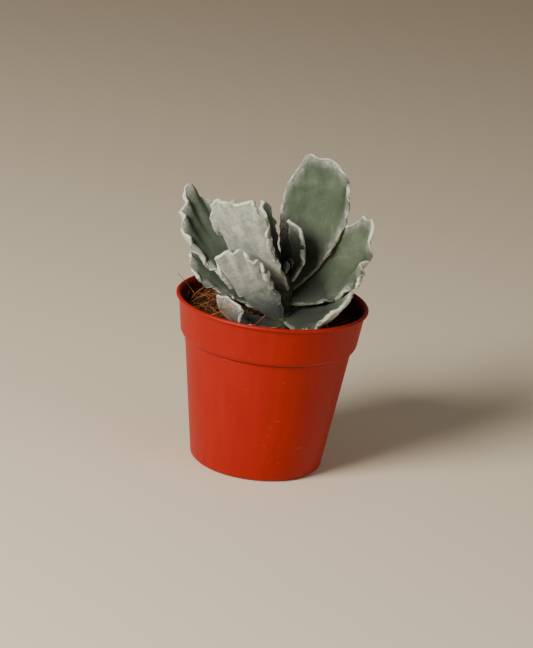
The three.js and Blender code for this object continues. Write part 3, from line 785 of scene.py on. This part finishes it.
def fibre_tree():
    """Strews bent fibres over a surface. Up to the pot's rim they stay inside its wall."""
    amounts = "Density, Length, Radius, Rise, Bend, Wall, Rim"
    net, given = geometry_tree("Coir Fibres", Float=amounts, Int="Seed", Material="Material")
    start, end = (net.joined(X=given["Length"] * way) for way in (-0.5, 0.5))
    crest = net.joined(Y=given["Length"] * 0.14, Z=given["Length"] * 0.07)
    values = {"Resolution": 18, "Start": start, "Middle": crest, "End": end}
    line = net.add("GeometryNodeCurveQuadraticBezier", values)
    values = {"Resolution": 5, "Radius": given["Radius"]}
    ring = net.add("GeometryNodeCurvePrimitiveCircle", values, mode="RADIUS")
    values = {"Curve": line, "Profile Curve": ring, "Fill Caps": True}
    strand = net.add("GeometryNodeCurveToMesh", values)
    rise = given["Rise"]
    lowest = net.joined(X=-0.3, Y=rise * -1.0)
    highest = net.joined(X=0.3, Y=rise * 0.2, Z=FULL_TURN)
    turn = random_vector(net, lowest, highest, given["Seed"])
    size = random_vector(net, (0.45, -1.3, 0.7), (1.3, 1.3, 1.2), given["Seed"] + 3.0)
    push = drift(net, 90.0, given["Bend"], 0.46)
    bent = strewn(net, given, strand, turn, size, push)
    place = net.add("GeometryNodeInputPosition")
    radius = net.vector("LENGTH", net.vector("MULTIPLY", place, (1.0, 1.0, 0.0)), output="Value")
    above = net.part(place, "Z") - given["Rim"]
    limit = given["Wall"] + above.math("MAXIMUM", above, 0.0) * 4.0
    share = limit / radius
    share = share.math("MINIMUM", share, 1.0)
    inside = net.vector("MULTIPLY", place, net.joined(X=share, Y=share, Z=1.0))
    kept = net.add("GeometryNodeSetPosition", {"Geometry": bent, "Position": inside})
    return close_tree(net, kept, given["Material"])


# Finishes

def paint_leaf(look):
    """Mealy leaf: green skin that shows through a grey bloom, a white crust on the margin, and painted
    shade near the heart, the leaf seats and the soil.
    """

    def paint(net, shader, place):
        margin, outer, heart, across, lengthwise, age = (net.attribute(name) for name in KEPT)
        lanes = net.joined(X=across * 55.0, Y=lengthwise * 4.0, Z=outer)
        streaks = net.grain(lanes, 1.0, 3.0, 0.6)
        cloud = net.grain(place, 95.0, 3.0, 0.5, 0.4)
        blotch = net.grain(place, 300.0, 4.0, 0.62, 0.5)
        patch = net.grain(place, 900.0, 3.0, 0.65)
        meal = net.grain(place, 3600.0, 2.0, 0.7)
        side = outer.step(0.35, 0.65)
        near = margin.step(4.5, 0.6)

        skin = net.blend(cloud.step(0.34, 0.66) * 0.6 + streaks * 0.3, look.skin_dark, look.skin)
        back = net.blend(blotch.step(0.3, 0.7) * 0.7 + streaks * 0.3, look.back_skin, look.back_bloom)
        veil = (near * 0.42 + blotch * 0.55 + cloud * 0.35 + patch * 0.25).step(0.52, 1.05)
        face = net.blend(veil * 0.85, skin, look.bloom)
        pink = net.grain(place, 130.0, 3.0, 0.6).step(0.48, 0.7)
        back = net.blend(pink * 0.5 + age * 0.4, back, look.blush)
        face = net.blend(side, face, back)
        face = net.blend(age * (blotch * 0.5 + 0.5), face, look.aged)

        # Painted shade: the faces darken towards the plant's heart, where the rosette shades itself, and
        # less so on the outer faces.
        painted_shade = (heart + (cloud - 0.5) * 8.0).step(18.0, 6.0) * (1.0 - side * 0.8)
        # More painted shade: darker towards each leaf's seat and low down near the soil, where the leaves
        # shade each other.
        foot = lengthwise.step(0.34, 0.1) * (0.55 - side * 0.15)
        foot = foot + (net.part(place, "Z") / MM).step(60.0, 48.0) * (0.8 - side * 0.65)
        painted_shade = (painted_shade + foot).math("MINIMUM", painted_shade + foot, 1.0)
        # The painted shade is blended in with the dark heart colour.
        face = net.blend(painted_shade * 0.95, face, look.heart)

        clumps = (blotch * 0.6 + near * 0.25 + side * 0.1).step(0.42, 0.62)
        flecks = (meal * 0.6 + patch * 0.4).step(0.48, 0.62) * clumps
        # The meal flecks are dimmed where shade is painted.
        face = net.blend(flecks * (0.5 - painted_shade * 0.48), face, look.meal)
        bare = (patch * 0.6 + meal * 0.4).step(0.46, 0.36) * (side * 0.2 + 0.3 - painted_shade * 0.3)
        face = net.blend(bare, face, look.skin_dark)
        ragged = margin + (patch - 0.5) * 1.5 + (blotch - 0.5) * 1.2 + (meal - 0.5) * 0.5
        width = look.margin_width / MM
        band = ragged.step(width + 0.3, width - 0.3)
        # The margin's meal is dimmed where shade is painted.
        face = net.blend(band * (0.9 - painted_shade * 0.72), face, look.meal)
        very_edge = (margin + (meal - 0.5) * 0.2).step(0.34, 0.12)
        worn = net.grain(place, 240.0, 2.0, 0.5).step(0.5, 0.6) * very_edge
        face = net.blend(worn * 0.75, face, look.edge_line)

        rough = band * 0.1 + 0.86 - painted_shade * 0.2
        relief = meal * 0.45 + patch * 0.6 + streaks * 0.9 + band * (meal * 1.2 + 0.5) + flecks * 0.3
        net.finish(shader, face, rough, relief, 0.6, 0.00016, 0.25)
        shader.inputs["Sheen Weight"].default_value = 0.1
        shader.inputs["Sheen Roughness"].default_value = 0.6

    return paint


def paint_pot(look):
    """Satin moulded plastic with faint flow marks, rubbed specks, and an inner wall darkened by damp dust
    and by painted shade.
    """

    def paint(net, shader, place):
        east, north, height = (net.part(place, axis) for axis in "XYZ")
        turn = north.math("ARCTAN2", north, east)
        inner = net.attribute("inside")
        lanes = net.joined(X=turn * 9.0, Y=height * 60.0, Z=inner)
        flow = net.grain(lanes, 1.0, 3.0, 0.5)
        cloud = net.grain(place, 60.0, 3.0, 0.5)
        fine = net.grain(place, 2600.0, 2.0, 0.6)
        turned = {"Vector": place, "Rotation": (0.5, 0.9, 0.3), "Scale": (260.0, 260.0, 1900.0)}
        lines = net.grain(net.add("ShaderNodeMapping", turned), 1.0, 2.0, 0.5)
        scratches = lines.step(0.69, 0.76) * cloud.step(0.5, 0.6)
        specks = net.grain(place, 900.0, 1.0, 0.5).step(0.76, 0.82)
        colour = net.blend(flow * 0.5 + cloud * 0.4, look.plastic_dark, look.plastic)
        colour = net.blend(scratches * 0.25 + specks * 0.25, colour, look.scuff)
        inside = inner.step(0.4, 0.9)
        damp = net.grain(place, 240.0, 4.0, 0.6).step(0.3, 0.7)
        # Inner wall: an even painted shade, with blotches of damp dust over it.
        colour = net.blend(inside * (damp * 0.45 + 0.45), colour, look.inner_dust_and_shade)
        rough = cloud * 0.1 + 0.4 + scratches * 0.25 + inside * 0.25
        relief = flow * 0.5 + fine * 0.12 - scratches * 0.4 - specks * 0.4 + inside * damp * 0.6
        net.finish(shader, colour, rough, relief, 0.35, 0.00012, 0.24)

    return paint


def paint_earth(dark, light, scale):
    """Loose peat or a fibre: two earthy colours in uneven grains."""

    def paint(net, shader, place):
        grains = net.grain(place, scale, 4.0, 0.65)
        fine = net.grain(place, scale * 5.0, 3.0, 0.6)
        colour = net.blend((grains * 0.75 + fine * 0.35).step(0.38, 0.72), dark, light)
        net.finish(shader, colour, fine * 0.15 + 0.82, grains * 0.6 + fine * 0.6, 0.6, 0.0002, 0.2)

    return paint


def paint_plain(colour, rough):
    """A plain matt studio surface with the faintest unevenness."""

    def paint(net, shader, place):
        cloud = net.grain(place, 3.0, 2.0, 0.5)
        shade = [0.85 * part for part in colour]
        net.feed(shader.inputs["Base Color"], net.blend(cloud * 0.1, colour, shade))
        shader.inputs["Roughness"].default_value = rough

    return paint


# Settings

def a_colour(name, description, *screen):
    settings = {"size": 3, "subtype": "COLOR", "min": 0, "max": 1}
    return FloatVectorProperty(name=name, description=description, default=tint(*screen), **settings)


def a_length(name, description, millimetres):
    return FloatProperty(name=name, description=description, default=millimetres * MM, min=0, unit="LENGTH")


def an_angle(name, description, degrees):
    return FloatProperty(name=name, description=description, default=math.radians(degrees), subtype="ANGLE")


def a_power(name, description, watts):
    return FloatProperty(name=name, description=description, default=watts, min=0, unit="POWER")


def an_amount(name, description, count):
    return FloatProperty(name=name, description=description, default=count, min=0)


def a_count(name, description, count):
    return IntProperty(name=name, description=description, default=count, min=0)


class SilverCrownLeafLook(bpy.types.PropertyGroup):
    """Colours and margin of the leaves."""

    skin: a_colour("Skin", "Light green of the inner face", 86, 98, 74)
    skin_dark: a_colour("Dark Skin", "Deeper green of the inner face", 60, 70, 51)
    bloom: a_colour("Bloom", "Grey mealy bloom on the inner face", 126, 126, 116)
    back_skin: a_colour("Outer Skin", "Outer face where the bloom is thin", 118, 132, 108)
    back_bloom: a_colour("Outer Bloom", "Mealy bloom on the outer face", 184, 187, 178)
    blush: a_colour("Blush", "Pinkish cast on the outer face", 156, 144, 134)
    aged: a_colour("Aged", "Grey-brown cast of the oldest leaves", 112, 100, 84)
    # Painted shade: a near-black green that stands in for the shade deep in the rosette, over the leaf
    # bases' own deeper green.
    heart: a_colour("Heart", "Dark green near the stem", 30, 36, 24)
    meal: a_colour("Meal", "White meal of the margin and the flecks", 214, 211, 194)
    edge_line: a_colour("Edge Line", "Green where the meal is worn off the edge", 104, 124, 76)
    margin_width: a_length("Margin Width", "Width of the mealy margin", 0.35)
    crinkle: an_amount("Crinkle", "Height of the fine waves in mm", 0.4)


class SilverCrownPotLook(bpy.types.PropertyGroup):
    """Colours and fineness of the pot."""

    plastic: a_colour("Plastic", "Orange-red moulded plastic", 170, 22, 2)
    plastic_dark: a_colour("Dark Plastic", "Darker flow marks in the plastic", 130, 11, 1)
    scuff: a_colour("Scuff", "Pale rubbed marks", 206, 120, 90)
    # Partly damp dust and partly painted shade inside the wall.
    inner_dust_and_shade: a_colour("Inner Dust", "Damp dust on the inner wall", 58, 22, 10)
    sides: a_count("Sides", "Steps round the pot", 192)
    hole_radius: a_length("Drain Hole Radius", "Radius of each drain hole", 2.2)
    hole_ring: a_length("Drain Ring Radius", "Distance of the drain holes from the axis", 10.5)
    hole_count: a_count("Drain Holes", "Number of drain holes", 5)


class SilverCrownSoilLook(bpy.types.PropertyGroup):
    """Colours and sizes of the peat and its coir fibres."""

    peat_dark: a_colour("Dark Peat", "Moist peat", 24, 14, 8)
    peat_light: a_colour("Light Peat", "Drier peat", 86, 52, 29)
    coir_dark: a_colour("Dark Coir", "Shaded side of the fibres", 104, 54, 22)
    coir_light: a_colour("Light Coir", "Bright dry fibres", 186, 118, 64)
    crumb_density: an_amount("Crumb Density", "Crumbs in a square metre", 6e5)
    crumb_small: a_length("Smallest Crumb", "Radius of the smallest crumb", 0.12)
    crumb_large: a_length("Largest Crumb", "Radius of the largest crumb", 0.55)
    fibre_density: an_amount("Fibre Density", "Fibres in a square metre", 6e4)
    fibre_length: a_length("Fibre Length", "Length of a middling fibre", 16.0)
    fibre_radius: a_length("Fibre Radius", "Radius of a fibre", 0.09)
    strand_density: an_amount("Strand Density", "Rising strands in a square metre", 1.6e4)
    hair_density: an_amount("Hair Density", "Fine hairs in a square metre", 1e5)
    seed: a_count("Seed", "Seed of the scattered crumbs and fibres", 7)


class SilverCrownStageLook(bpy.types.PropertyGroup):
    """Camera and light of the studio."""

    distance: a_length("Distance", "Camera distance", 700)
    elevation: an_angle("Elevation", "Camera height angle", 19.34)
    tilt: an_angle("Tilt", "Camera roll", 6.37)
    key_power: a_power("Key Power", "Power of the key light", 9.5)
    fill_power: a_power("Fill Power", "Power of the fill light", 1.5)
    air_strength: an_amount("Air Strength", "Strength of the light all round", 0.14)
    floor: a_colour("Floor", "Pale floor and backdrop", 224, 206, 178)


# Operators

class CROWN_OT_stage(bpy.types.Operator):
    """Sets up the pale floor, the soft light and the camera"""

    bl_idname = "crown.stage"
    bl_label = "Studio"

    def execute(self, context):
        look = context.scene.crown_stage
        backdrop(look)
        soft_light("key_light", (-0.45, -0.46, 0.42), (0, 0, 0.06), 0.34, look.key_power, (1.0, 0.98, 0.95))
        soft_light("fill_light", (0.6, -0.35, 0.25), (0, 0, 0.05), 0.6, look.fill_power, (0.93, 0.96, 1.0))
        world = bpy.data.worlds.new("studio_air")
        world.use_nodes = True
        air = world.node_tree.nodes["Background"]
        air.inputs["Color"].default_value = (0.9, 0.88, 0.84, 1)
        air.inputs["Strength"].default_value = look.air_strength
        context.scene.world = world
        context.scene.camera = photo_camera(look)
        return {"FINISHED"}


class CROWN_OT_pot(bpy.types.Operator):
    """Turns the plastic pot with its lip, collar, recess and drain holes"""

    bl_idname = "crown.pot"
    bl_label = "Plastic Pot"

    def execute(self, context):
        look = context.scene.crown_pot
        plastic = finish_for("satin_plastic", paint_pot(look))
        body = turned_mesh(eased(pot_profile(), CORNER_ROUND), look.sides, plastic)
        values = {
            "Hole Radius": look.hole_radius,
            "Ring Radius": look.hole_ring,
            "Hole Count": look.hole_count,
            "Floor": FLOOR * MM,
            "Material": plastic,
        }
        pot = grown("pot_moulded", body, drain_tree(), values)
        tidy_mesh(pot.data, MICRON)
        keep_inside(pot.data)
        settle(pot, "pot", "pot")
        return {"FINISHED"}


class CROWN_OT_soil(bpy.types.Operator):
    """Fills the pot with rough peat, its crumbs and its coir fibres"""

    bl_idname = "crown.soil"
    bl_label = "Peat and Coir"

    def execute(self, context):
        look = context.scene.crown_soil
        peat = finish_for("moist_peat", paint_earth(look.peat_dark, look.peat_light, PEAT_GRAIN))
        coir = finish_for("dry_coir", paint_earth(look.coir_dark, look.coir_light, COIR_GRAIN))
        mesh = soil_mesh(peat)
        settle(shown("soil_ball", mesh), "soil", "soil")
        crumbs = {
            "Density": look.crumb_density,
            "Smallest": look.crumb_small,
            "Largest": look.crumb_large,
            "Roughness": CRUMB_ROUGHNESS,
            "Seed": look.seed,
            "Material": peat,
        }
        settle(grown("peat_crumbs", top_patch(mesh, 0, CRUMB_REACH), crumb_tree(), crumbs), "soil")
        tree = fibre_tree()
        for kind in COIR:
            fibres = {
                "Density": getattr(look, kind.density),
                "Length": look.fibre_length * kind.length,
                "Radius": look.fibre_radius * kind.radius,
                "Rise": kind.rise,
                "Bend": COIR_BEND,
                "Wall": (wall_middle(SOIL_TOP) - WALL) * MM,
                "Rim": (POT_HEIGHT + 0.3) * MM,
                "Seed": look.seed + kind.seed,
                "Material": coir,
            }
            patch = top_patch(mesh, kind.bare, COIR_REACH)
            settle(grown(kind.name, patch, tree, fibres), "soil")
        return {"FINISHED"}


class CROWN_OT_stem(bpy.types.Operator):
    """Turns the short stem with its leaf scars"""

    bl_idname = "crown.stem"
    bl_label = "Stem"

    def execute(self, context):
        skin = finish_for("stem_skin", paint_earth(STEM_DARK, STEM_LIGHT, STEM_GRAIN))
        mesh = turned_mesh(stem_profile(), STEM_SIDES, skin)
        for point in mesh.vertices:
            rough = noise.fractal(point.co * 900, 0.6, 2.0, 3)
            out = Vector((point.co.x, point.co.y, 0))
            if out.length > MICRON:
                point.co += out.normalized() * rough * BARK_HEIGHT * MM
            point.co += Vector((STEM_X, STEM_Y, 0)) * MM
        settle(shown("stem_scarred", mesh), "stem", "stem")
        return {"FINISHED"}


class CROWN_OT_leaves(bpy.types.Operator):
    """Builds each leaf as a fine blade with a crinkled, rounded margin"""

    bl_idname = "crown.leaves"
    bl_label = "Leaves"

    def execute(self, context):
        look = context.scene.crown_leaf
        skin = finish_for("mealy_leaf", paint_leaf(look))
        for leaf in LEAVES:
            mesh = blade_mesh(leaf, LEAF_ROWS, LEAF_COLUMNS, look.crinkle)
            mesh.materials.append(skin)
            settle(shown(leaf.name + "_blade", mesh), "leaf", leaf.name)
        shape = bmesh.new()
        for leaf in BUD_LEAVES:
            shape.from_mesh(blade_mesh(leaf, BUD_ROWS, BUD_COLUMNS, 0.0))
        mesh = bpy.data.meshes.new("bud_pair")
        shape.to_mesh(mesh)
        shape.free()
        mesh.materials.append(skin)
        settle(shown("bud_pair", mesh), "leaf", "bud")
        return {"FINISHED"}


class CROWN_PT_panel(bpy.types.Panel):
    """Lists the pieces of the potted silver crown"""

    bl_idname = "CROWN_PT_panel"
    bl_label = "Silver Crown"
    bl_space_type = "VIEW_3D"
    bl_region_type = "UI"
    bl_category = "Silver Crown"

    def draw(self, context):
        for operator in OPERATORS:
            self.layout.operator(operator.bl_idname)
        for group in GROUPS:
            look = getattr(context.scene, group)
            for name in type(look).__annotations__:
                self.layout.prop(look, name)


def stem_profile():
    low = [(0, SOIL_TOP - ROOT_DEPTH), (0.9, SOIL_TOP - ROOT_DEPTH), (STEM_RADIUS, SOIL_TOP - 3)]
    scars = [(STEM_RADIUS - 0.15 * (i % 2), SOIL_TOP - 2 + 0.9 * i) for i in range(7)]
    high = [(mix(STEM_RADIUS, STEM_TOP_RADIUS, k) - 0.1 * (i % 2), mix(SOIL_TOP + 4.4, STEM_TOP - 1, k))
            for i, k in enumerate((0.2, 0.4, 0.6, 0.8, 1.0))]
    return low + scars + high + [(0.6, STEM_TOP), (0, STEM_TOP)]


# Studio

def backdrop(look):
    """A pale floor that curves up far behind the part."""
    half, bend = 1.6, 0.5
    rows = [(-1.2, 0.0), (1.0, 0.0)]
    turns = np.linspace(0.1, math.pi / 2, 14)
    rows += [(1.0 + bend * math.sin(turn), bend * (1 - math.cos(turn))) for turn in turns]
    rows.append((1.0 + bend, 2.2))
    points = [(x, y, z) for y, z in rows for x in (-half, half)]
    mesh = bpy.data.meshes.new("floor_sweep")
    strips = [(2 * i, 2 * i + 1, 2 * i + 3, 2 * i + 2) for i in range(len(rows) - 1)]
    mesh.from_pydata(points, [], strips)
    mesh.materials.append(finish_for("pale_floor", paint_plain(look.floor, 0.85)))
    mesh.shade_smooth()
    shown("floor_sweep", mesh)


def soft_light(name, place, target, size, power, colour):
    lamp = bpy.data.lights.new(name, "AREA")
    lamp.shape = "DISK"
    lamp.size = size
    lamp.energy = power
    lamp.color = colour
    light = bpy.data.objects.new(name, lamp)
    light.location = place
    light.rotation_euler = (Vector(target) - Vector(place)).to_track_quat("-Z", "Y").to_euler()
    bpy.context.scene.collection.objects.link(light)


def photo_camera(look):
    """A camera at the photo's viewing angle. The photo's pixel sizes are those of its 533 by 648 frame."""
    frame_height = 648
    focal_pixels = 2440
    centre_right, centre_up = 2.4, 52.5
    target = Vector((0, 0, 0.025))
    back = Vector((0, -math.cos(look.elevation), math.sin(look.elevation)))
    up = Vector((0, math.sin(look.elevation), math.cos(look.elevation)))
    side = Vector((1, 0, 0))
    rolled_side = math.cos(look.tilt) * side + math.sin(look.tilt) * up
    rolled_up = math.cos(look.tilt) * up - math.sin(look.tilt) * side
    ahead = (rolled_side * centre_right + rolled_up * centre_up) / focal_pixels - back
    ahead.normalize()
    right = (rolled_side - rolled_side.dot(ahead) * ahead).normalized()
    top = right.cross(ahead)
    lens = bpy.data.cameras.new("photo_camera")
    lens.lens = focal_pixels / frame_height * lens.sensor_width
    camera = bpy.data.objects.new("photo_camera", lens)
    turn = Matrix((right, top, -ahead)).transposed().to_4x4()
    camera.matrix_world = Matrix.Translation(target + look.distance * back) @ turn
    bpy.context.scene.collection.objects.link(camera)
    return camera


# Registration

GROUPS = {
    "crown_leaf": SilverCrownLeafLook,
    "crown_pot": SilverCrownPotLook,
    "crown_soil": SilverCrownSoilLook,
    "crown_stage": SilverCrownStageLook,
}
OPERATORS = (CROWN_OT_stage, CROWN_OT_pot, CROWN_OT_soil, CROWN_OT_stem, CROWN_OT_leaves)
CLASSES = (*GROUPS.values(), *OPERATORS, CROWN_PT_panel)


def register():
    for kind in CLASSES:
        bpy.utils.register_class(kind)
    for name, kind in GROUPS.items():
        setattr(bpy.types.Scene, name, PointerProperty(type=kind))


def unregister():
    for name in GROUPS:
        delattr(bpy.types.Scene, name)
    for kind in reversed(CLASSES):
        bpy.utils.unregister_class(kind)


def main():
    register()
    bpy.ops.crown.stage()
    bpy.ops.crown.pot()
    bpy.ops.crown.soil()
    bpy.ops.crown.stem()
    bpy.ops.crown.leaves()


if __name__ == "__main__":
    main()
